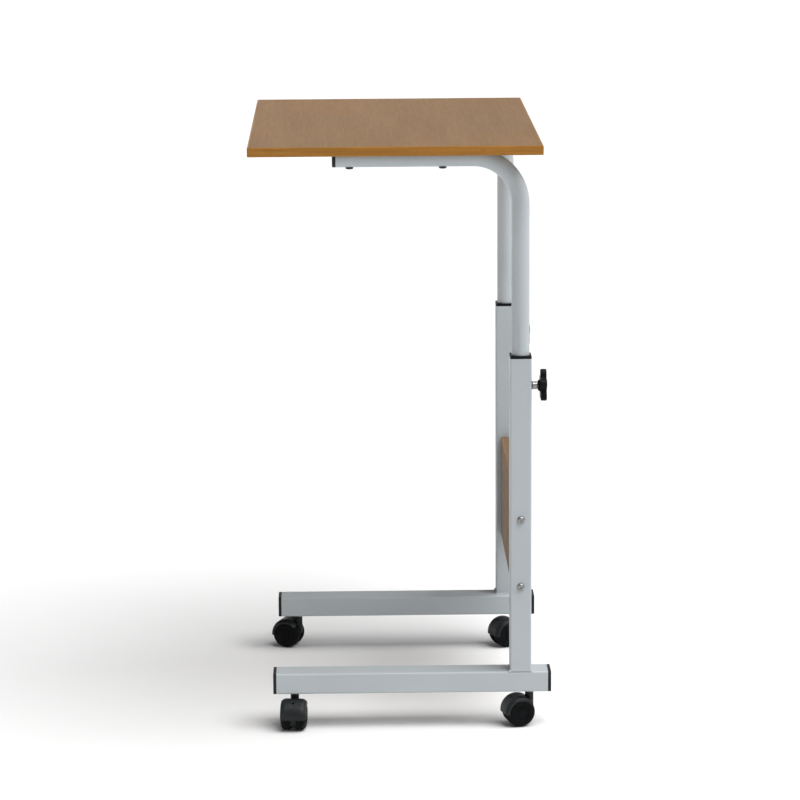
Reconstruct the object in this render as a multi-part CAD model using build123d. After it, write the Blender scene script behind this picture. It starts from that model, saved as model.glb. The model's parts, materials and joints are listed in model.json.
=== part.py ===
from build123d import *
import os

# Overbed table on casters, in millimetres.
# Origin: on the floor, under the centre of the whole table. +Z up, +X towards the posts, +Y to the right
# for a person who stands behind the posts and faces the free end of the top.

# ---------------------------------------------------------------- driving dimensions
TOP_LENGTH = 600.0          # tabletop, along Y
TOP_WIDTH = 400.0           # tabletop, along X
TOP_THICK = 13.0
TOP_HEIGHT = 835.0          # upper face of the tabletop above the floor
TOP_BAND = 2.0              # edge band thickness
TOP_BAND_ROUND = 1.5
INSERT_RADIUS = 4.0         # threaded sleeves in the underside of the top
INSERT_LONG = 9.5

CASTER_HEIGHT = 52.0        # floor to the underside of the foot rails
RAIL_LENGTH = 392.0         # along X, with both end caps
RAIL_WIDE = 40.0
RAIL_HIGH = 30.0
RAIL_CORNER = 3.0
RAIL_OUTSET = 232.0         # outer face of each rail from the centre plane
REAR_OVERHANG = 16.0        # how far the rails reach past the tabletop's rear edge
CAP_HEAD = 4.5
CAP_DEPTH = 12.0
CAP_WALL = 2.5

TUBE_WALL = 1.5
POST_SIZE = 30.0
POST_CORNER = 2.5
POST_HIGH = 448.0
POST_SETBACK = 28.0         # rail's rear end to the post's rear face
WELD = 2.5                  # leg of the fillet weld round each post's foot

ARM_DIA = 25.0              # round tube that slides in the post
ARM_BEND = 65.0             # centre-line radius
ARM_LEG = 254.0             # horizontal leg, from the upright's axis to the cut end
ARM_INSERTION = 100.0       # tube inside the post below its rim, as placed
ARM_PLUG_HEAD = 5.0
ARM_PLUG_STUB = 12.0
ARM_SCREW_REACH = (107.0, 235.0)    # screws under the leg, from the upright's axis

BUSH_FLANGE = 4.0
BUSH_SLEEVE = 30.0
GLIDE_FLANGE = 3.0
GLIDE_STUB = 15.0
PLUG_WALL = 2.5

PANEL_HIGH = 150.0
PANEL_THICK = 15.0
PANEL_LIFT = 96.0           # above the rail's upper face
PANEL_BAND = 1.0
PANEL_BOLT_PITCH = 96.0
BOLT_HOLE = 6.5
BARREL_INSET = 26.0         # barrel nut's axis from the panel's end
BARREL_RADIUS = 5.0
BARREL_LONG = 12.0
SLOT_WIDE = 1.2             # screwdriver slot in the barrel nut

# Bolts and screws: shank radius, head radius, head height, hexagon key, shank length.
PANEL_BOLT = (3.0, 5.3, 3.3, 4.0, 63.0)
ARM_SCREW = (2.5, 5.5, 2.5, 3.0, ARM_DIA + 9.0)

KNOB_DROP = 40.0            # clamp screw below the post's rim
KNOB_RADIUS = 23.0
KNOB_LOBES = 5
KNOB_LOBE_RADIUS = 7.0
KNOB_CORE = 11.0
KNOB_THICK = 8.5
KNOB_HUB_HIGH = 3.6
KNOB_CROWN_HIGH = 0.8
KNOB_GAP = 0.5              # knob's hub to the clamp nut
CLAMP_NUT_RADIUS = 5.5
CLAMP_NUT_LONG = 8.5
STUD_DIA = 8.0
STUD_HOLD = 5.0             # stud inside the knob, beyond the hub
STUD_CLEAR = 0.15           # stud's tip to the round tube
STUD_HOLE = 8.6

CASTER_INSET = 30.0         # stem axis from each end of the rail
CASTER_TRAIL = 16.0         # stem axis to wheel axle
WHEEL_RADIUS = 21.0
WHEEL_OUTER = 18.2          # wheel's outer face from the caster's middle
WHEEL_INNER = 4.4
WHEEL_ROUND = 8.0           # rounding between the tread and the outer face
WHEEL_FACE = 3.5            # thickness of the closed outer face
WHEEL_RIM = 4.0
WHEEL_HUB = 5.5
RECESS_RADIUS = 11.0
RECESS_DEEP = 0.9
AXLE_DIA = 6.0
AXLE_HALF = 13.6
AXLE_POCKET = 13.9          # depth of the wheel's bore from the caster's middle
WELL_GAP = 0.7              # wheel to fender
HOOD_WALL = 1.5
HOOD_HALF = 17.8
HOOD_SPAN = (40.0, 185.0)   # fender's ends, in degrees above the stem's side of the axle
WEB_HALF = 4.0
WEB_RADIUS = 18.0
DIMPLE_RADIUS = 1.7
COLLAR_RADIUS = 6.0
COLLAR_LOW = 22.0
STEM_FLANGE = 4.0
FLANGE_RADIUS = 11.5
FLANGE_NECK = 7.5
THREAD_LONG = 16.0
PIVOT_RADIUS = 3.5
PIVOT_LOW = 39.0
PIN_RADIUS = 2.5
PIN_LOW = 25.0
NUT_WIDE = 13.0
NUT_HIGH = 6.5
CASTER_YAW = {"left_front": 85.0, "left_rear": 14.0, "right_front": -20.0, "right_rear": 25.0}

SLIP = 0.05                 # radial clearance of sliding and turning fits

# ---------------------------------------------------------------- derived places
X_REAR = (TOP_WIDTH + REAR_OVERHANG) / 2
X_RAIL_FRONT = X_REAR - RAIL_LENGTH
X_TOP_FRONT = -X_REAR
X_TOP_REAR = X_TOP_FRONT + TOP_WIDTH
X_POST = X_REAR - POST_SETBACK - POST_SIZE / 2
X_POST_FACE = X_POST + POST_SIZE / 2
Y_RAIL = RAIL_OUTSET - RAIL_WIDE / 2
Y_POST = RAIL_OUTSET - POST_SIZE / 2
Y_PANEL_END = RAIL_OUTSET - POST_SIZE
Z_RAIL_TOP = CASTER_HEIGHT + RAIL_HIGH
Z_POST_TOP = Z_RAIL_TOP + POST_HIGH
Z_TOP_UNDER = TOP_HEIGHT - TOP_THICK
Z_LEG = Z_TOP_UNDER - ARM_DIA / 2
Z_ARM_END = Z_POST_TOP - ARM_INSERTION
Z_KNOB = Z_POST_TOP - KNOB_DROP
Z_PANEL = Z_RAIL_TOP + PANEL_LIFT
Z_PANEL_MID = Z_PANEL + PANEL_HIGH / 2
X_BARREL = X_POST + PANEL_THICK / 2 - 0.5 - BARREL_LONG
X_KNOB = X_POST_FACE + CLAMP_NUT_LONG + KNOB_GAP + KNOB_HUB_HIGH
WELL_RADIUS = WHEEL_RADIUS + WELL_GAP
HOOD_OUTER = WELL_RADIUS + HOOD_WALL
FAR = 60.0                  # longer than any caster part, for cutting tools
SIDES = {"left": -1, "right": 1}
NO_ALIGN = (Align.NONE, Align.NONE)
UP = (Align.CENTER, Align.CENTER, Align.MIN)
DOWN = (Align.CENTER, Align.CENTER, Align.MAX)
UPRIGHT = Rot(0, 0, 0)
ALONG_X = Rot(0, 90, 0)
ALONG_Y = Rot(-90, 0, 0)


def bar(x, y, z, radius, length, turn=UPRIGHT):
    """Round bar that starts at a point and runs up, or along the turned direction."""
    return Pos(x, y, z) * turn * Cylinder(radius, length, align=UP)


def rounded_bar(plane, wide, high, corner, length):
    return extrude(plane * RectangleRounded(wide, high, corner), amount=length)


# ---------------------------------------------------------------- base
def foot_rail(side):
    """Rectangular tube on the floor side, with a stem hole near each end of its lower wall."""
    start = X_RAIL_FRONT + CAP_HEAD
    length = RAIL_LENGTH - 2 * CAP_HEAD
    inner = 2 * TUBE_WALL
    outside = rounded_bar(Plane.YZ, RAIL_WIDE, RAIL_HIGH, RAIL_CORNER, length)
    inside = rounded_bar(Plane.YZ, RAIL_WIDE - inner, RAIL_HIGH - inner, RAIL_CORNER - TUBE_WALL, length)
    rail = Pos(start, side * Y_RAIL, CASTER_HEIGHT + RAIL_HIGH / 2) * (outside - inside)
    for x in stem_places():
        rail -= bar(x, side * Y_RAIL, CASTER_HEIGHT - 1, STUD_HOLE / 2, TUBE_WALL + 2)
    return rail


def rail_outside(side):
    block = rounded_bar(Plane.YZ, RAIL_WIDE, RAIL_HIGH, RAIL_CORNER, RAIL_LENGTH)
    return Pos(X_RAIL_FRONT, side * Y_RAIL, CASTER_HEIGHT + RAIL_HIGH / 2) * block


def stem_places():
    return (X_RAIL_FRONT + CASTER_INSET, X_REAR - CASTER_INSET)


def rail_cap(side, end):
    """Plug with a flush head. end is -1 for the front of the rail and 1 for the rear."""
    wide = RAIL_WIDE - 2 * TUBE_WALL - 2 * SLIP
    high = RAIL_HIGH - 2 * TUBE_WALL - 2 * SLIP
    head = rounded_bar(Plane.YZ, RAIL_WIDE, RAIL_HIGH, RAIL_CORNER, CAP_HEAD)
    head = fillet(head.faces().sort_by(Axis.X)[-1].edges(), 1.0)
    stub = rounded_bar(Plane.YZ, wide, high, RAIL_CORNER - TUBE_WALL, -CAP_DEPTH)
    hollow = rounded_bar(Plane.YZ, wide - 2 * CAP_WALL, high - 2 * CAP_WALL, 1.0, -CAP_DEPTH)
    cap = head + (stub - hollow)
    turn = Rot(0, 0, 0) if end > 0 else Rot(0, 0, 180)
    x = X_REAR - CAP_HEAD if end > 0 else X_RAIL_FRONT + CAP_HEAD
    return Pos(x, side * Y_RAIL, CASTER_HEIGHT + RAIL_HIGH / 2) * turn * cap


def post(side):
    """Square upright tube with cross holes for the panel bolts and one for the clamp screw."""
    inner = POST_SIZE - 2 * TUBE_WALL
    outside = rounded_bar(Plane.XY, POST_SIZE, POST_SIZE, POST_CORNER, POST_HIGH)
    inside = rounded_bar(Plane.XY, inner, inner, POST_CORNER - TUBE_WALL, POST_HIGH)
    tube = Pos(X_POST, side * Y_POST, Z_RAIL_TOP) * (outside - inside)
    for z in bolt_heights():
        tube -= bar(X_POST, side * Y_POST - POST_SIZE, z, BOLT_HOLE / 2, 2 * POST_SIZE, ALONG_Y)
    tube -= bar(X_POST, side * Y_POST, Z_KNOB, STUD_HOLE / 2, POST_SIZE, ALONG_X)
    return tube


def post_weld(side):
    """Fillet bead on three sides of the post's foot, which also fills the rail's rounded edge."""
    depth = POST_SIZE + WELD
    foot = Box(POST_SIZE + 2 * WELD, depth, RAIL_CORNER + WELD, align=UP)
    upper = foot.faces().sort_by(Axis.Z)[-1].edges()
    sloped = [edge for edge in upper if edge.center().Y < depth / 2 - 1]
    foot = chamfer(sloped, WELD - 0.1)
    turn = Rot(0, 0, 0) if side > 0 else Rot(0, 0, 180)
    y = side * (RAIL_OUTSET - depth / 2)
    foot = Pos(X_POST, y, Z_RAIL_TOP - RAIL_CORNER) * turn * foot
    stock = rounded_bar(Plane.XY, POST_SIZE, POST_SIZE, POST_CORNER, POST_HIGH)
    return foot - Pos(X_POST, side * Y_POST, Z_RAIL_TOP) * stock - rail_outside(side)


def post_bush(side):
    """Square-to-round guide in the post's mouth, with a flange on the rim."""
    plan = POST_SIZE - 2 * TUBE_WALL - 2 * SLIP
    flange = rounded_bar(Plane.XY, POST_SIZE, POST_SIZE, POST_CORNER, BUSH_FLANGE)
    flange = fillet(flange.faces().sort_by(Axis.Z)[-1].edges(), 0.8)
    sleeve = rounded_bar(Plane.XY, plan, plan, POST_CORNER - TUBE_WALL, -BUSH_SLEEVE)
    bore = Cylinder(ARM_DIA / 2 + SLIP, 3 * BUSH_SLEEVE)
    return Pos(X_POST, side * Y_POST, Z_POST_TOP) * (flange + sleeve - bore)


def clamp_nut(side):
    """Round threaded boss, welded over the clamp hole."""
    boss = Cylinder(CLAMP_NUT_RADIUS, CLAMP_NUT_LONG, align=UP)
    boss = chamfer(boss.faces().sort_by(Axis.Z)[-1].edges(), 0.6)
    bead = Cone(CLAMP_NUT_RADIUS + 1.7, CLAMP_NUT_RADIUS, 1.8, align=UP)
    bore = Cylinder(STUD_DIA / 2 + SLIP, 3 * CLAMP_NUT_LONG)
    return Pos(X_POST_FACE, side * Y_POST, Z_KNOB) * ALONG_X * (boss + bead - bore)


# ---------------------------------------------------------------- panel between the posts
def bolt_heights():
    return (Z_PANEL_MID - PANEL_BOLT_PITCH / 2, Z_PANEL_MID + PANEL_BOLT_PITCH / 2)


def bolt_places():
    return [(side, z) for side in SIDES.values() for z in bolt_heights()]


def panel_board():
    high = PANEL_HIGH - 2 * PANEL_BAND
    board = Pos(X_POST, 0, Z_PANEL_MID) * Box(PANEL_THICK, 2 * Y_PANEL_END, high)
    for side, z in bolt_places():
        end = side * Y_PANEL_END
        inward = Rot(90, 0, 0) if side > 0 else ALONG_Y
        board -= bar(X_POST, end, z, BOLT_HOLE / 2, BARREL_INSET + BARREL_LONG, inward)
        y = side * (Y_PANEL_END - BARREL_INSET)
        board -= bar(X_BARREL - 1, y, z, BARREL_RADIUS + SLIP, PANEL_THICK, ALONG_X)
    return board


def panel_edge_bands():
    offset = (PANEL_HIGH - PANEL_BAND) / 2
    band = Box(PANEL_THICK, 2 * Y_PANEL_END, PANEL_BAND)
    return Compound(children=[Pos(X_POST, 0, Z_PANEL_MID + s * offset) * band for s in (-1, 1)])


def button_bolt(radius, head_radius, head_high, key, length):
    """Domed head with a hexagon socket below z = 0, shank above."""
    dome = Cylinder(head_radius, head_high, align=DOWN)
    dome = fillet(dome.faces().sort_by(Axis.Z)[0].edges(), head_high * 0.75)
    hexagon = RegularPolygon(key / 2, 6, major_radius=False)
    socket = Pos(0, 0, -head_high) * extrude(hexagon, amount=head_high * 0.65)
    shank = Cylinder(radius, length, align=UP)
    shank = chamfer(shank.faces().sort_by(Axis.Z)[-1].edges(), 0.5)
    return dome - socket + shank


def panel_bolts():
    bolts = []
    for side, z in bolt_places():
        inward = Rot(90, 0, 0) if side > 0 else ALONG_Y
        bolts.append(Pos(X_POST, side * RAIL_OUTSET, z) * inward * button_bolt(*PANEL_BOLT))
    return Compound(children=bolts)


def panel_barrel_nuts():
    nuts = []
    for side, z in bolt_places():
        y = side * (Y_PANEL_END - BARREL_INSET)
        nut = bar(X_BARREL, y, z, BARREL_RADIUS, BARREL_LONG, ALONG_X)
        slot = Pos(X_BARREL + BARREL_LONG, y, z) * Box(2 * SLOT_WIDE, SLOT_WIDE, 1.4 * BARREL_RADIUS)
        bore = bar(X_POST, y - 2 * BARREL_RADIUS, z, PANEL_BOLT[0] + SLIP, 4 * BARREL_RADIUS, ALONG_Y)
        nuts.append(nut - bore - slot)
    return Compound(children=nuts)


# ---------------------------------------------------------------- sliding top
def tabletop_board():
    board = Box(TOP_WIDTH - 2 * TOP_BAND, TOP_LENGTH - 2 * TOP_BAND, TOP_THICK, align=UP)
    board = Pos((X_TOP_FRONT + X_TOP_REAR) / 2, 0, Z_TOP_UNDER) * board
    for x, y in screw_places():
        board -= bar(x, y, Z_TOP_UNDER, INSERT_RADIUS, INSERT_LONG + 0.5)
    return board


def tabletop_band(face):
    """One of four edge strips. The front and rear strips run over the ends of the other two."""
    middle = (X_TOP_FRONT + X_TOP_REAR) / 2
    slab = Pos(middle, 0, Z_TOP_UNDER) * Box(TOP_WIDTH, TOP_LENGTH, TOP_THICK, align=UP)
    slab = fillet(slab.edges().filter_by(Axis.Z), TOP_BAND_ROUND)
    rims = slab.faces().sort_by(Axis.Z)[0].edges() + slab.faces().sort_by(Axis.Z)[-1].edges()
    slab = fillet(rims, TOP_BAND_ROUND)
    inner_x = TOP_WIDTH / 2 - TOP_BAND
    inner_y = TOP_LENGTH / 2 - TOP_BAND
    high = 3 * TOP_THICK
    places = {
        "front": (middle - inner_x - TOP_BAND, 0, 2 * TOP_BAND, 2 * TOP_LENGTH),
        "rear": (middle + inner_x + TOP_BAND, 0, 2 * TOP_BAND, 2 * TOP_LENGTH),
        "left": (middle, -inner_y - TOP_BAND, 2 * inner_x, 2 * TOP_BAND),
        "right": (middle, inner_y + TOP_BAND, 2 * inner_x, 2 * TOP_BAND),
    }
    x, y, wide, deep = places[face]
    return slab & (Pos(x, y, Z_TOP_UNDER) * Box(wide, deep, high))


def arm_tube(side):
    """Round tube: upright in the post, one large bend, then a level leg under the tabletop."""
    y = side * Y_POST
    cut_end = X_POST - ARM_LEG
    path = FilletPolyline((X_POST, y, Z_ARM_END), (X_POST, y, Z_LEG), (cut_end, y, Z_LEG), radius=ARM_BEND)
    ring = Pos(X_POST, y, Z_ARM_END) * (Circle(ARM_DIA / 2) - Circle(ARM_DIA / 2 - TUBE_WALL))
    tube = sweep(ring, path=path)
    for reach in ARM_SCREW_REACH:
        tube -= bar(X_POST - reach, y, Z_LEG - ARM_DIA, ARM_SCREW[0] + 0.25, 2 * ARM_DIA)
    return tube


def plug(head_radius, head_high, stub_radius, stub_long):
    """Tube plug with its head below z = 0 and its hollow stub above."""
    head = Cylinder(head_radius, head_high, align=DOWN)
    head = fillet(head.faces().sort_by(Axis.Z)[0].edges(), min(head_high * 0.4, 1.5))
    stub = Cylinder(stub_radius, stub_long, align=UP)
    return head + (stub - Cylinder(stub_radius - PLUG_WALL, stub_long, align=UP))


def arm_plug(side):
    stub = ARM_DIA / 2 - TUBE_WALL - SLIP
    piece = plug(ARM_DIA / 2, ARM_PLUG_HEAD, stub, ARM_PLUG_STUB)
    return Pos(X_POST - ARM_LEG, side * Y_POST, Z_LEG) * ALONG_X * piece


def arm_glide(side):
    """Guide at the tube's lower end, as wide as the inside of the post."""
    stub = ARM_DIA / 2 - TUBE_WALL - SLIP
    guide = POST_SIZE / 2 - TUBE_WALL - SLIP
    return Pos(X_POST, side * Y_POST, Z_ARM_END) * plug(guide, GLIDE_FLANGE, stub, GLIDE_STUB)


def screw_places():
    return [(X_POST - reach, side * Y_POST) for side in SIDES.values() for reach in ARM_SCREW_REACH]


def arm_screws():
    z = Z_LEG - ARM_DIA / 2
    return Compound(children=[Pos(x, y, z) * button_bolt(*ARM_SCREW) for x, y in screw_places()])


def tabletop_inserts():
    """Threaded sleeves in the underside of the board."""
    sleeve = Cylinder(INSERT_RADIUS, INSERT_LONG, align=UP) - Cylinder(ARM_SCREW[0] + SLIP, 3 * INSERT_LONG)
    return Compound(children=[Pos(x, y, Z_TOP_UNDER) * sleeve for x, y in screw_places()])


# ---------------------------------------------------------------- clamp knobs
def knob_star():
    """Star of equal rounded lobes, one of them upwards, with softened valleys."""
    reach = KNOB_RADIUS - KNOB_LOBE_RADIUS
    lobe = Pos(0, reach / 2) * Rectangle(2 * KNOB_LOBE_RADIUS, reach)
    lobe += Pos(0, reach) * Circle(KNOB_LOBE_RADIUS)
    star = Circle(KNOB_CORE)
    for index in range(KNOB_LOBES):
        star += Rot(0, 0, 360 / KNOB_LOBES * index) * lobe
    solid = extrude(star, amount=KNOB_THICK)
    upright = solid.edges().filter_by(Axis.Z)
    valleys = [e for e in upright if Vector(e.center().X, e.center().Y).length < KNOB_CORE + 2.5]
    return fillet(valleys, 3.0)


def knob(side):
    """Lobed grip, a hub towards the post and a low crown on the outer face."""
    lobes = knob_star()
    lobes = fillet(lobes.faces().sort_by(Axis.Z)[-1].edges(), 1.6)
    lobes = chamfer(lobes.faces().sort_by(Axis.Z)[0].edges(), 0.8)
    hub = Cone(KNOB_CORE - 4.5, KNOB_CORE - 1.5, KNOB_HUB_HIGH, align=DOWN)
    crown = Pos(0, 0, KNOB_THICK) * Cone(KNOB_CORE - 3, KNOB_CORE - 5, KNOB_CROWN_HIGH, align=UP)
    socket = Pos(0, 0, -KNOB_HUB_HIGH - 1) * Cylinder(STUD_DIA / 2, KNOB_HUB_HIGH + 1 + STUD_HOLD, align=UP)
    body = lobes + hub + crown - socket
    return Pos(X_KNOB, side * Y_POST, Z_KNOB) * Rot(0, 0, 90) * Rot(90, 0, 0) * body


def knob_stud(side):
    """Clamp screw. Its flat tip stands just off the round tube."""
    start = X_POST + ARM_DIA / 2 + STUD_CLEAR
    stud = Cylinder(STUD_DIA / 2, X_KNOB + STUD_HOLD - start, align=UP)
    stud = chamfer(stud.faces().sort_by(Axis.Z)[0].edges(), 0.8)
    return Pos(start, side * Y_POST, Z_KNOB) * ALONG_X * stud


# ---------------------------------------------------------------- casters
# Each is drawn with its stem on the Z axis, its wheels trailing towards -X, and its axle along Y.
def caster_frame(name):
    side = -1 if name.startswith("left") else 1
    x = stem_places()[1] if name.endswith("rear") else stem_places()[0]
    return Pos(x, side * Y_RAIL, 0) * Rot(0, 0, CASTER_YAW[name])


def axle_bar(radius, low, high):
    """Bar on the axle's line, between two distances from the caster's middle."""
    return bar(-CASTER_TRAIL, low, WHEEL_RADIUS, radius, high - low, ALONG_Y)


def rounded_drum(grow):
    """The wheel pair's outline without its gap, grown evenly by a distance."""
    drum = axle_bar(WHEEL_RADIUS + grow, -WHEEL_OUTER - grow, WHEEL_OUTER + grow)
    return fillet(drum.edges().filter_by(GeomType.CIRCLE), WHEEL_ROUND + grow)


def caster_stem():
    """Threaded stem with a conical flange under the rail and a stepped pivot below it."""
    z_flange = CASTER_HEIGHT - STEM_FLANGE
    thread = bar(0, 0, CASTER_HEIGHT, STUD_DIA / 2, THREAD_LONG)
    flange = Pos(0, 0, z_flange) * Cone(FLANGE_NECK, FLANGE_RADIUS, STEM_FLANGE, align=UP)
    pivot = bar(0, 0, PIVOT_LOW, PIVOT_RADIUS, z_flange - PIVOT_LOW)
    pin = bar(0, 0, PIN_LOW, PIN_RADIUS, PIVOT_LOW - PIN_LOW)
    return thread + flange + pivot + pin


def fender_sector():
    """Wedge above the wheels, as wide as the fender."""
    first, last = HOOD_SPAN
    angles = [first + (last - first) * step / 4 for step in range(5)]
    rim = [Vector(FAR, 0).rotate(Axis.Z, angle) for angle in angles]
    wedge = Polygon((0, 0), *[(point.X, point.Y) for point in rim], align=NO_ALIGN)
    return Pos(-CASTER_TRAIL, 0, WHEEL_RADIUS) * extrude(Plane.XZ * wedge, amount=HOOD_HALF, both=True)


def caster_hood():
    """Fender over both wheels, a web between them and a collar round the stem."""
    collar_top = CASTER_HEIGHT - STEM_FLANGE - 0.3
    hood = rounded_drum(WELL_GAP + HOOD_WALL) & fender_sector()
    hood += bar(0, 0, COLLAR_LOW, COLLAR_RADIUS, collar_top - COLLAR_LOW)
    hood += axle_bar(WEB_RADIUS, -WEB_HALF, WEB_HALF)
    web = Box(2 * FAR, 2 * WEB_HALF, 2 * FAR)
    hood -= rounded_drum(WELL_GAP) - web
    hood -= axle_bar(AXLE_DIA / 2, -WEB_HALF - 1, WEB_HALF + 1)
    hood -= bar(0, 0, PIVOT_LOW - 0.2, PIVOT_RADIUS + SLIP, FAR)
    hood -= bar(0, 0, PIN_LOW - 0.4, PIN_RADIUS + SLIP, FAR)
    dimple = Pos(0, 0, HOOD_OUTER - 3) * Cylinder(DIMPLE_RADIUS, 6, align=UP)
    return hood - Pos(-CASTER_TRAIL, 0, WHEEL_RADIUS) * Rot(0, -30, 0) * dimple


def caster_axle():
    return axle_bar(AXLE_DIA / 2, -AXLE_HALF, AXLE_HALF)


def caster_wheel(side):
    """Cup-shaped wheel, open towards the web, with a shallow recess in its closed outer face."""
    tread = axle_bar(WHEEL_RADIUS, WHEEL_INNER, WHEEL_OUTER)
    tread = fillet(tread.edges().group_by(Axis.Y)[-1], WHEEL_ROUND)
    tread = fillet(tread.edges().group_by(Axis.Y)[0], 1.0)
    deep = WHEEL_OUTER - WHEEL_FACE
    cup = axle_bar(WHEEL_RADIUS - WHEEL_RIM, WHEEL_INNER, deep) - axle_bar(WHEEL_HUB, WHEEL_INNER, deep)
    recess = axle_bar(RECESS_RADIUS, WHEEL_OUTER - RECESS_DEEP, WHEEL_OUTER + 1)
    bore = axle_bar(AXLE_DIA / 2 + SLIP, WHEEL_INNER - 1, AXLE_POCKET)
    wheel = tread - cup - recess - bore
    return wheel if side > 0 else mirror(wheel, about=Plane.XZ)


def caster_nuts():
    """Hexagon nuts on the lower wall inside the rails."""
    flat = RegularPolygon(NUT_WIDE / 2, 6, major_radius=False) - Circle(STUD_DIA / 2 + SLIP)
    nut = extrude(flat, amount=NUT_HIGH)
    z = CASTER_HEIGHT + TUBE_WALL
    return Compound(children=[Pos(x, s * Y_RAIL, z) * nut for s in SIDES.values() for x in stem_places()])


# ---------------------------------------------------------------- files
os.makedirs("parts", exist_ok=True)
pieces = {
    "panel_board": panel_board(),
    "panel_edge_bands": panel_edge_bands(),
    "panel_bolts": panel_bolts(),
    "panel_barrel_nuts": panel_barrel_nuts(),
    "tabletop_board": tabletop_board(),
    "tabletop_inserts": tabletop_inserts(),
    "arm_screws": arm_screws(),
    "caster_nuts": caster_nuts(),
}
for face in ("front", "rear", "left", "right"):
    pieces["tabletop_band_" + face] = tabletop_band(face)
for word, side in SIDES.items():
    pieces["foot_rail_" + word] = foot_rail(side)
    pieces["rail_cap_" + word + "_front"] = rail_cap(side, -1)
    pieces["rail_cap_" + word + "_rear"] = rail_cap(side, 1)
    pieces["post_" + word] = post(side)
    pieces["post_weld_" + word] = post_weld(side)
    pieces["post_bush_" + word] = post_bush(side)
    pieces["clamp_nut_" + word] = clamp_nut(side)
    pieces["arm_tube_" + word] = arm_tube(side)
    pieces["arm_plug_" + word] = arm_plug(side)
    pieces["arm_glide_" + word] = arm_glide(side)
    pieces["knob_" + word] = knob(side)
    pieces["knob_stud_" + word] = knob_stud(side)
for name in CASTER_YAW:
    place = caster_frame(name)
    pieces["caster_stem_" + name] = place * caster_stem()
    pieces["caster_hood_" + name] = place * caster_hood()
    pieces["caster_axle_" + name] = place * caster_axle()
    pieces["caster_wheel_" + name + "_a"] = place * caster_wheel(-1)
    pieces["caster_wheel_" + name + "_b"] = place * caster_wheel(1)

for node, shape in pieces.items():
    export_step(shape, "parts/" + node + ".step")
print(len(pieces), "nodes")
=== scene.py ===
import json
import math

import bmesh
import bpy
from mathutils import Matrix, Vector


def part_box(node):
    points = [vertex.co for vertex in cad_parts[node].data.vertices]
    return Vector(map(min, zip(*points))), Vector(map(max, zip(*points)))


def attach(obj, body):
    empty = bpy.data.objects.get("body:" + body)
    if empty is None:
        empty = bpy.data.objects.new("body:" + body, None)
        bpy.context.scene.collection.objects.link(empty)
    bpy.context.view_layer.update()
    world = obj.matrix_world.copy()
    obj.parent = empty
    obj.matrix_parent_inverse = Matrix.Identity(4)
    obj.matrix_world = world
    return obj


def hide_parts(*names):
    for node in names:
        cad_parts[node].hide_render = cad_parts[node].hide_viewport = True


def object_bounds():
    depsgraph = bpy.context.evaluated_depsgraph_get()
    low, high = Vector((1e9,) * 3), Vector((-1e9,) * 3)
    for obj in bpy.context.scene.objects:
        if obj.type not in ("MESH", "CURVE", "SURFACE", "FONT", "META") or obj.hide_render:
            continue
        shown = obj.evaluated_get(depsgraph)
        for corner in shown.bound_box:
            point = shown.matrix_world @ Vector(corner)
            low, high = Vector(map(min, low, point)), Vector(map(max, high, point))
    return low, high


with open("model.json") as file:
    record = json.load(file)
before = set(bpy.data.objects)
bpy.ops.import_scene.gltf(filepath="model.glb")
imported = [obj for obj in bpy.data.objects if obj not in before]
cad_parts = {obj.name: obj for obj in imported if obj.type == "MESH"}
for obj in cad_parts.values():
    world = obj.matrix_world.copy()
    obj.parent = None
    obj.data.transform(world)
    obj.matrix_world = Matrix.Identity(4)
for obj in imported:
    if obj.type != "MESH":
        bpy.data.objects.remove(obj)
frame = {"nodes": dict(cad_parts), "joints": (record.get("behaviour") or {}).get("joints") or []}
cad_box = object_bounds()
nodes = frame["nodes"]
joints = {joint["name"]: joint for joint in frame["joints"]}


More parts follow.
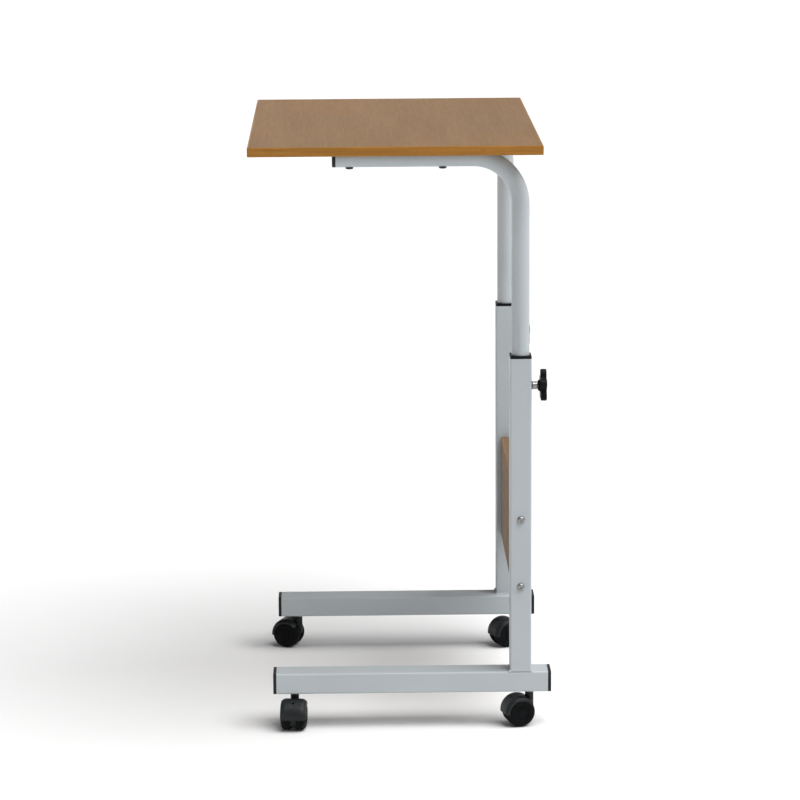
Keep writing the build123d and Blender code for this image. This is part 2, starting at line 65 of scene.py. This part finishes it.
# ---------------------------------------------------------------- material helpers
class Paint:
    """A material whose node tree is built by short calls."""

    def __init__(self, name, roughness, metallic=0.0, **sockets):
        self.material = bpy.data.materials.new(name)
        self.material.use_nodes = True
        self.tree = self.material.node_tree
        self.bsdf = self.tree.nodes["Principled BSDF"]
        self.bsdf.inputs["Roughness"].default_value = roughness
        self.bsdf.inputs["Metallic"].default_value = metallic
        for socket, value in sockets.items():
            self.bsdf.inputs[socket.replace("_", " ")].default_value = value

    def node(self, kind, **inputs):
        made = self.tree.nodes.new("ShaderNode" + kind)
        for name, value in inputs.items():
            socket = made.inputs[name.replace("_", " ")]
            if isinstance(value, bpy.types.NodeSocket):
                self.tree.links.new(value, socket)
            else:
                socket.default_value = value
        return made

    def place(self, scale, turn=(0.0, 0.0, 0.0)):
        """Object coordinates, stretched."""
        coords = self.node("TexCoord").outputs["Object"]
        return self.node("Mapping", Vector=coords, Scale=scale, Rotation=turn).outputs["Vector"]

    def noise(self, scale, detail=2.0, roughness=0.5, distortion=0.0, stretch=(1.0, 1.0, 1.0)):
        where = self.place(tuple(scale * s for s in stretch))
        made = self.node("TexNoise", Vector=where, Scale=1.0, Detail=detail, Distortion=distortion)
        made.inputs["Roughness"].default_value = roughness
        return made.outputs["Fac"]

    def stretch_of_height(self, low, high):
        """White between two heights, fading out at the upper one."""
        height = self.node("SeparateXYZ", Vector=self.node("TexCoord").outputs["Object"]).outputs["Z"]
        share = self.node("MapRange", Value=height)
        share.inputs["From Min"].default_value = low
        share.inputs["From Max"].default_value = high
        return self.ramp(share.outputs["Result"], (0.0, 1.0), (0.6, 0.7), (1.0, 0.0))

    def ramp(self, fac, *stops):
        made = self.node("ValToRGB", Fac=fac)
        elements = made.color_ramp.elements
        while len(elements) < len(stops):
            elements.new(0.5)
        for element, (position, colour) in zip(elements, stops):
            element.position = position
            element.color = grey(colour) if isinstance(colour, float) else (*colour, 1.0)
        return made.outputs["Color"]

    def mix(self, fac, first, second, blend="MIX"):
        made = self.tree.nodes.new("ShaderNodeMix")
        made.data_type = "RGBA"
        made.blend_type = blend
        for index, value in ((0, fac), (6, first), (7, second)):
            if isinstance(value, bpy.types.NodeSocket):
                self.tree.links.new(value, made.inputs[index])
            elif index == 0:
                made.inputs[0].default_value = value
            else:
                made.inputs[index].default_value = (*value, 1.0)
        return made.outputs[2]

    def bump(self, height, distance, strength=1.0, under=None):
        made = self.node("Bump", Height=height, Distance=distance, Strength=strength)
        if under is not None:
            self.tree.links.new(under, made.inputs["Normal"])
        return made.outputs["Normal"]

    def finish(self, colour=None, roughness=None, normal=None):
        for name, value in (("Base Color", colour), ("Roughness", roughness), ("Normal", normal)):
            if value is not None:
                self.tree.links.new(value, self.bsdf.inputs[name])
        return self.material


def grey(value):
    return (value, value, value, 1.0)


def scaled(colour, factor):
    return tuple(channel * factor for channel in colour)


# ---------------------------------------------------------------- materials
def powder_coat(name, colour, rubbed=None):
    """Silver-grey powder coat: fine orange peel, faint patches and hairline scuffs.

    rubbed gives the lowest and highest point of a stretch with upright scratches from sliding.
    """
    paint = Paint(name, 0.42)
    patches = paint.noise(7.0, detail=3.0)
    speck = paint.noise(900.0, detail=2.0)
    tone = paint.ramp(patches, (0.3, scaled(colour, 0.95)), (0.7, scaled(colour, 1.04)))
    tone = paint.mix(0.10, tone, paint.ramp(speck, (0.35, scaled(colour, 0.7)), (0.65, scaled(colour, 1.25))))
    scuffs = paint.noise(60.0, detail=4.0, roughness=0.75, stretch=(0.25, 1.0, 1.0))
    tone = paint.mix(paint.ramp(scuffs, (0.70, 0.0), (0.80, 0.35)), tone, scaled(colour, 0.72))
    if rubbed:
        scratches = paint.noise(420.0, detail=3.0, roughness=0.7, stretch=(1.0, 1.0, 0.02))
        marks = paint.mix(1.0, paint.ramp(scratches, (0.54, 0.0), (0.66, 0.5)), paint.stretch_of_height(*rubbed), "MULTIPLY")
        tone = paint.mix(marks, tone, scaled(colour, 0.66))
    shine = paint.ramp(paint.noise(25.0, detail=4.0), (0.3, 0.36), (0.7, 0.48))
    peel = paint.bump(paint.noise(700.0, detail=1.0), 0.00006)
    grain = paint.bump(paint.noise(2600.0, detail=1.0), 0.00002, under=peel)
    return paint.finish(tone, shine, grain)


def moulded(name, colour, gloss, dust=0.0, sheen=0.3):
    """Black moulded plastic with a fine spark-eroded grain, rubbed and dusty in patches."""
    paint = Paint(name, gloss, Specular_IOR_Level=sheen)
    patches = paint.noise(45.0, detail=4.0, roughness=0.65)
    tone = paint.ramp(patches, (0.35, scaled(colour, 0.75)), (0.7, scaled(colour, 1.5)))
    if dust:
        film = paint.noise(160.0, detail=5.0, roughness=0.7)
        tone = paint.mix(paint.ramp(film, (0.48, 0.0), (0.72, dust)), tone, (0.16, 0.15, 0.14))
    shine = paint.ramp(paint.noise(110.0, detail=3.0), (0.3, gloss - 0.08), (0.7, gloss + 0.10))
    grain = paint.bump(paint.noise(1500.0, detail=2.0, roughness=0.7), 0.00005)
    return paint.finish(tone, shine, grain)


def zinc(name, colour=(0.30, 0.30, 0.29)):
    """Zinc-plated steel: cloudy crystals and fine turning marks."""
    paint = Paint(name, 0.34, metallic=1.0)
    cloud = paint.noise(420.0, detail=4.0, roughness=0.6)
    tone = paint.ramp(cloud, (0.3, scaled(colour, 0.7)), (0.7, scaled(colour, 1.2)))
    shine = paint.ramp(paint.noise(900.0, detail=3.0), (0.3, 0.26), (0.7, 0.46))
    marks = paint.bump(paint.noise(2400.0, detail=2.0), 0.00003)
    return paint.finish(tone, shine, marks)


def laminate(name, light, dark, along="Y", gloss=0.40, sheen=0.12):
    """Wood-look laminate. The figure is stretched along one axis, with streaks, growth lines and pores."""
    axis = "XYZ".index(along)
    paint = Paint(name, gloss, Specular_IOR_Level=sheen)

    def stretch(ratio):
        return tuple(ratio if index == axis else 1.0 for index in range(3))

    bands = paint.noise(17.0, detail=3.0, roughness=0.55, distortion=0.8, stretch=stretch(0.09))
    lines = paint.noise(95.0, detail=3.0, roughness=0.6, distortion=1.6, stretch=stretch(0.045))
    fibres = paint.noise(520.0, detail=3.0, roughness=0.65, stretch=stretch(0.03))
    pores = paint.noise(1100.0, detail=1.0, stretch=stretch(0.07))
    mid = tuple((a + b) / 2 for a, b in zip(light, dark))
    tone = paint.ramp(bands, (0.28, dark), (0.48, mid), (0.72, light))
    tone = paint.mix(0.45, tone, paint.ramp(lines, (0.36, scaled(dark, 0.86)), (0.62, scaled(light, 1.06))))
    tone = paint.mix(0.30, tone, paint.ramp(fibres, (0.32, scaled(dark, 0.78)), (0.66, scaled(light, 1.12))))
    deep = paint.ramp(pores, (0.60, 0.0), (0.72, 0.42))
    tone = paint.mix(deep, tone, scaled(dark, 0.52))
    cloud = paint.ramp(paint.noise(5.0, detail=2.0), (0.35, (0.94, 0.97, 1.0)), (0.65, (1.04, 1.0, 0.94)))
    tone = paint.mix(0.8, tone, cloud, "MULTIPLY")
    shine = paint.ramp(fibres, (0.3, gloss - 0.06), (0.7, gloss + 0.08))
    relief = paint.bump(pores, 0.00004, strength=0.5)
    relief = paint.bump(fibres, 0.00003, under=relief)
    return paint.finish(tone, shine, relief)


def studio_floor():
    paint = Paint("studio_floor", 0.75)
    tone = paint.ramp(paint.noise(1.5, detail=3.0), (0.3, 0.81), (0.7, 0.84))
    return paint.finish(tone)


STEEL_GREY = (0.388, 0.422, 0.442)
TOP_LIGHT = (0.262, 0.156, 0.074)
TOP_DARK = (0.198, 0.111, 0.048)
PANEL_LIGHT = (0.235, 0.155, 0.092)
PANEL_DARK = (0.172, 0.109, 0.062)
BAND_LIGHT = (0.355, 0.163, 0.031)
BAND_DARK = (0.25, 0.106, 0.018)

z_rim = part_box("post_bush_left")[1].z
coat = powder_coat("powder_coat", STEEL_GREY)
coat_sliding = powder_coat("powder_coat_sliding", STEEL_GREY, rubbed=(z_rim, z_rim + 0.10))
black_plastic = moulded("black_plastic", (0.011, 0.012, 0.013), 0.50, sheen=0.2)
knob_plastic = moulded("knob_plastic", (0.005, 0.0055, 0.006), 0.42, sheen=0.08)
hood_plastic = moulded("hood_plastic", (0.010, 0.012, 0.013), 0.46, dust=0.03, sheen=0.20)
wheel_face = moulded("wheel_face", (0.004, 0.0043, 0.0047), 0.42, dust=0.01, sheen=0.05)
tread_rubber = moulded("tread_rubber", (0.004, 0.0042, 0.0045), 0.62, dust=0.03, sheen=0.05)
bright = zinc("zinc_steel")
blackened = zinc("blackened_steel", (0.05, 0.05, 0.052))
top_wood = laminate("top_laminate", TOP_LIGHT, TOP_DARK, gloss=0.46)
panel_wood = laminate("panel_laminate", PANEL_LIGHT, PANEL_DARK, gloss=0.60, sheen=0.04)
band_y = laminate("band_along_y", BAND_LIGHT, BAND_DARK, along="Y", gloss=0.34)
band_x = laminate("band_along_x", BAND_LIGHT, BAND_DARK, along="X", gloss=0.34)

FINISHES = (
    ("foot_rail", coat),
    ("post_bush", knob_plastic),
    ("post", coat),
    ("arm_tube", coat_sliding),
    ("arm_screws", blackened),
    ("arm_plug", black_plastic),
    ("arm_glide", black_plastic),
    ("rail_cap", black_plastic),
    ("panel_board", panel_wood),
    ("panel_edge", panel_wood),
    ("tabletop_board", top_wood),
    ("tabletop_band_left", band_x),
    ("tabletop_band_right", band_x),
    ("tabletop_band", band_y),
    ("caster_hood", hood_plastic),
    ("caster_wheel", wheel_face),
    ("knob_stud", bright),
    ("knob", knob_plastic),
)


def finish_for(node):
    for start, material in FINISHES:
        if node.startswith(start):
            return material
    return bright


def dress(node_object, material):
    """The CAD mesh stays as it is: the material goes in the object's own slots."""
    if not node_object.material_slots:
        node_object.data.materials.append(None)
    for material_slot in node_object.material_slots:
        material_slot.link = "OBJECT"
        material_slot.material = material


for node_name, node_object in nodes.items():
    dress(node_object, finish_for(node_name))


# ---------------------------------------------------------------- mesh helpers
def add_piece(name, mesh_data, materials, body, smooth=True):
    """Turn a bmesh into a piece that rides on a body."""
    mesh = bpy.data.meshes.new(name)
    bmesh.ops.recalc_face_normals(mesh_data, faces=mesh_data.faces)
    for face in mesh_data.faces:
        face.smooth = smooth
    mesh_data.to_mesh(mesh)
    mesh_data.free()
    for material in materials:
        mesh.materials.append(material)
    piece = bpy.data.objects.new(name, mesh)
    bpy.context.scene.collection.objects.link(piece)
    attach(piece, body)
    return piece


def bridge(mesh_data, first, second, material_index=0):
    """Quads between two closed rings of the same length."""
    count = len(first)
    for index in range(count):
        after = (index + 1) % count
        face = mesh_data.faces.new((first[index], first[after], second[after], second[index]))
        face.material_index = material_index


def soften(piece, width, angle=35.0, segments=2):
    """Small bevel on the sharp edges, with its shading."""
    bevel = piece.modifiers.new("bevel", "BEVEL")
    bevel.width = width
    bevel.segments = segments
    bevel.limit_method = "ANGLE"
    bevel.angle_limit = math.radians(angle)
    bevel.harden_normals = True


# ---------------------------------------------------------------- caster wheels
TREAD_SLOT, FACE_SLOT = 0, 1


def wheel_profile(radius, inner, outer):
    """Section of one wheel as (distance from the caster's middle, radius, material), from bore to hub."""
    edge = 0.0080
    rim = [(inner, radius * 0.26), (inner + 0.011, radius * 0.26), (inner + 0.011, radius * 0.81)]
    rim += [(inner, radius * 0.81), (inner, radius - 0.001), (inner + 0.0004, radius - 0.0003)]
    points = [(*point, FACE_SLOT) for point in rim]
    points.append((inner + 0.001, radius, TREAD_SLOT))
    groove = outer - edge - 0.0012
    for depth, reach in ((0.0, groove), (0.0004, groove + 0.0002), (0.0004, groove + 0.0006), (0.0, groove + 0.0008)):
        points.append((reach, radius - depth, TREAD_SLOT))
    for step in range(9):
        angle = math.radians(90 * step / 8)
        along = outer - edge + edge * math.sin(angle)
        points.append((along, radius - edge + edge * math.cos(angle), TREAD_SLOT if step < 4 else FACE_SLOT))
    face = [(0.0, 0.0116), (0.0001, 0.0113), (0.0009, 0.0108), (0.0009, 0.0058), (0.0003, 0.0050)]
    face += [(0.00015, 0.0044), (0.0001, 0.0020), (0.0001, 0.0004)]
    points += [(outer - depth, reach, FACE_SLOT) for depth, reach in face]
    return points


def wheel_basis(joint):
    """Axle point and three directions: outwards along the axle, up, and across."""
    axle = Vector(joint["axis"]).normalized()
    outward = axle if joint["name"].endswith("_b") else -axle
    return Vector(joint["pos_m"]), outward, Vector((0, 0, 1)), outward.cross(Vector((0, 0, 1)))


def add_ribs(mesh_data, centre, outward, up, across, outer):
    """Short moulded ribs in the recess, between the hub and the rim."""
    count = 10
    for index in range(count):
        angle = 2 * math.pi * index / count
        reach = up * math.cos(angle) + across * math.sin(angle)
        side = outward.cross(reach)
        rings = []
        for distance, half in ((0.0052, 0.00075), (0.0110, 0.00045)):
            foot, crest = outer - 0.0011, outer - 0.0004
            section = ((foot, -half * 1.4), (crest, -half), (crest, half), (foot, half * 1.4))
            rings.append([mesh_data.verts.new(centre + reach * distance + outward * o + side * s) for o, s in section])
        bridge(mesh_data, *rings, FACE_SLOT)


def add_wheel(joint):
    """Turned wheel with a rubber tread, a parting groove and a ribbed face."""
    body = joint["child"]
    node = body.replace("wheel_", "caster_wheel_")
    centre, outward, up, across = wheel_basis(joint)
    low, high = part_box(node)
    radius = (high.z - low.z) / 2
    inner, outer = 0.0044, 0.0182
    mesh_data = bmesh.new()
    profile = wheel_profile(radius, inner, outer)
    segments = 96
    rings = []
    for along, reach, _ in profile:
        ring = []
        for index in range(segments):
            angle = 2 * math.pi * index / segments
            spoke = up * math.cos(angle) + across * math.sin(angle)
            ring.append(mesh_data.verts.new(centre + outward * along + spoke * reach))
        rings.append(ring)
    for first, second, point in zip(rings, rings[1:], profile[1:]):
        bridge(mesh_data, first, second, point[2])
    mesh_data.faces.new(rings[-1]).material_index = FACE_SLOT
    add_ribs(mesh_data, centre, outward, up, across, outer)
    piece = add_piece("turned_" + body, mesh_data, (tread_rubber, wheel_face), body)
    soften(piece, 0.00015, angle=40.0)
    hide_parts(node)


for joint_name, joint in joints.items():
    if joint_name.startswith("roll_"):
        add_wheel(joint)


# ---------------------------------------------------------------- weld beads
def rounded_path(corners, radius, spacing):
    """Evenly spaced points along straight runs with rounded corners."""
    dense = []
    for index, corner in enumerate(corners):
        if index in (0, len(corners) - 1):
            dense.append(corner)
            continue
        before = (corners[index - 1] - corner).normalized() * radius
        after = (corners[index + 1] - corner).normalized() * radius
        for step in range(7):
            share = step / 6
            dense.append(corner + before * (1 - share) ** 2 + after * share ** 2)
    points = []
    for start, end in zip(dense, dense[1:]):
        count = max(1, round((end - start).length / spacing))
        points += [start.lerp(end, step / count) for step in range(count)]
    return points + [dense[-1]]


def add_weld_bead(side):
    """Rippled fillet weld on three sides of the post's foot."""
    node = "post_weld_" + side
    low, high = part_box(node)
    post_low, post_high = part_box("post_" + side)
    outwards = 1 if side == "right" else -1
    y_open = post_high.y if outwards > 0 else post_low.y
    y_back = post_low.y if outwards > 0 else post_high.y
    corners = [
        Vector((post_low.x, y_open, post_low.z)),
        Vector((post_low.x, y_back, post_low.z)),
        Vector((post_high.x, y_back, post_low.z)),
        Vector((post_high.x, y_open, post_low.z)),
    ]
    centre = Vector(((post_low.x + post_high.x) / 2, (post_low.y + post_high.y) / 2, post_low.z))
    path = rounded_path(corners, 0.0025, 0.0004)
    mesh_data = bmesh.new()
    rings = []
    travelled = 0.0
    for index, point in enumerate(path):
        before, after = path[max(index - 1, 0)], path[min(index + 1, len(path) - 1)]
        travelled += (point - before).length
        away = Vector((0, 0, 1)).cross(after - before).normalized()
        if away.dot(point - centre) < 0:
            away = -away
        swell = 0.0021 + 0.00018 * math.sin(travelled / 0.0013 * 2 * math.pi) + 0.00012 * math.sin(travelled * 900)
        ring = []
        for step in range(10):
            angle = 2 * math.pi * step / 10
            ring.append(mesh_data.verts.new(point + away * swell * math.cos(angle) + Vector((0, 0, swell * math.sin(angle)))))
        rings.append(ring)
    for first, second in zip(rings, rings[1:]):
        bridge(mesh_data, first, second)
    mesh_data.faces.new(rings[0])
    mesh_data.faces.new(rings[-1])
    bead = add_piece("weld_bead_" + side, mesh_data, (coat,), "base")
    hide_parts(node)


for side_name in ("left", "right"):
    add_weld_bead(side_name)


# ---------------------------------------------------------------- studio
def add_floor():
    """Round studio floor that curves up far away, so that no view meets its edge."""
    section = [(0.5, 0.0), (32.0, 0.0), (36.0, 0.6), (39.0, 2.0), (41.0, 4.2), (42.2, 7.2), (42.5, 11.0)]
    segments = 96
    mesh_data = bmesh.new()
    rings = []
    for radius, height in section:
        turns = [2 * math.pi * index / segments for index in range(segments)]
        rings.append([mesh_data.verts.new((radius * math.cos(t), radius * math.sin(t), height)) for t in turns])
    for first, second in zip(rings, rings[1:]):
        bridge(mesh_data, first, second)
    mesh_data.faces.new(rings[0])
    for face in mesh_data.faces:
        face.smooth = True
    mesh = bpy.data.meshes.new("floor")
    bmesh.ops.recalc_face_normals(mesh_data, faces=mesh_data.faces)
    mesh_data.to_mesh(mesh)
    mesh_data.free()
    mesh.materials.append(studio_floor())
    floor = bpy.data.objects.new("floor", mesh)
    bpy.context.scene.collection.objects.link(floor)


def add_area_light(name, place, aim, size, energy):
    light = bpy.data.lights.new(name, "AREA")
    light.shape = "DISK"
    light.size = size
    light.energy = energy
    lamp = bpy.data.objects.new(name, light)
    lamp.location = place
    lamp.rotation_mode = "QUATERNION"
    lamp.rotation_quaternion = (Vector(aim) - Vector(place)).to_track_quat("-Z", "Y")
    bpy.context.scene.collection.objects.link(lamp)


def add_sun(direction, strength, spread):
    """Wide, soft light that comes from a direction."""
    light = bpy.data.lights.new("soft_sun", "SUN")
    light.energy = strength
    light.angle = math.radians(spread)
    sun = bpy.data.objects.new("soft_sun", light)
    sun.rotation_mode = "QUATERNION"
    sun.rotation_quaternion = Vector(direction).to_track_quat("Z", "Y")
    bpy.context.scene.collection.objects.link(sun)


def add_world(strength):
    world = bpy.data.worlds.new("studio")
    world.use_nodes = True
    background = world.node_tree.nodes["Background"]
    background.inputs["Color"].default_value = (1.0, 1.0, 1.0, 1.0)
    background.inputs["Strength"].default_value = strength
    bpy.context.scene.world = world


def add_camera(place, yaw, pitch, roll, lens):
    """yaw turns from +Y towards +X, pitch looks down, roll tips the picture."""
    camera = bpy.data.objects.new("camera", bpy.data.cameras.new("camera"))
    camera.data.lens = lens
    camera.data.clip_end = 200.0
    turn = Matrix.Rotation(math.radians(-yaw), 4, "Z")
    turn = turn @ Matrix.Rotation(math.radians(90 - pitch), 4, "X")
    turn = turn @ Matrix.Rotation(math.radians(roll), 4, "Z")
    camera.matrix_world = Matrix.Translation(place) @ turn
    bpy.context.scene.collection.objects.link(camera)
    bpy.context.scene.camera = camera


low, high = cad_box
middle = (low + high) / 2
add_floor()
add_world(0.10)
add_sun((0.36, -0.24, 0.90), strength=4.3, spread=55)
add_area_light("side_glow", (2.6, -0.4, 1.2), middle, 1.4, 9)
add_camera((-0.0769, -4.8245, 1.3912), yaw=0.924, pitch=11.294, roll=-0.362, lens=152.07)
bpy.context.scene.view_settings.view_transform = "Standard"
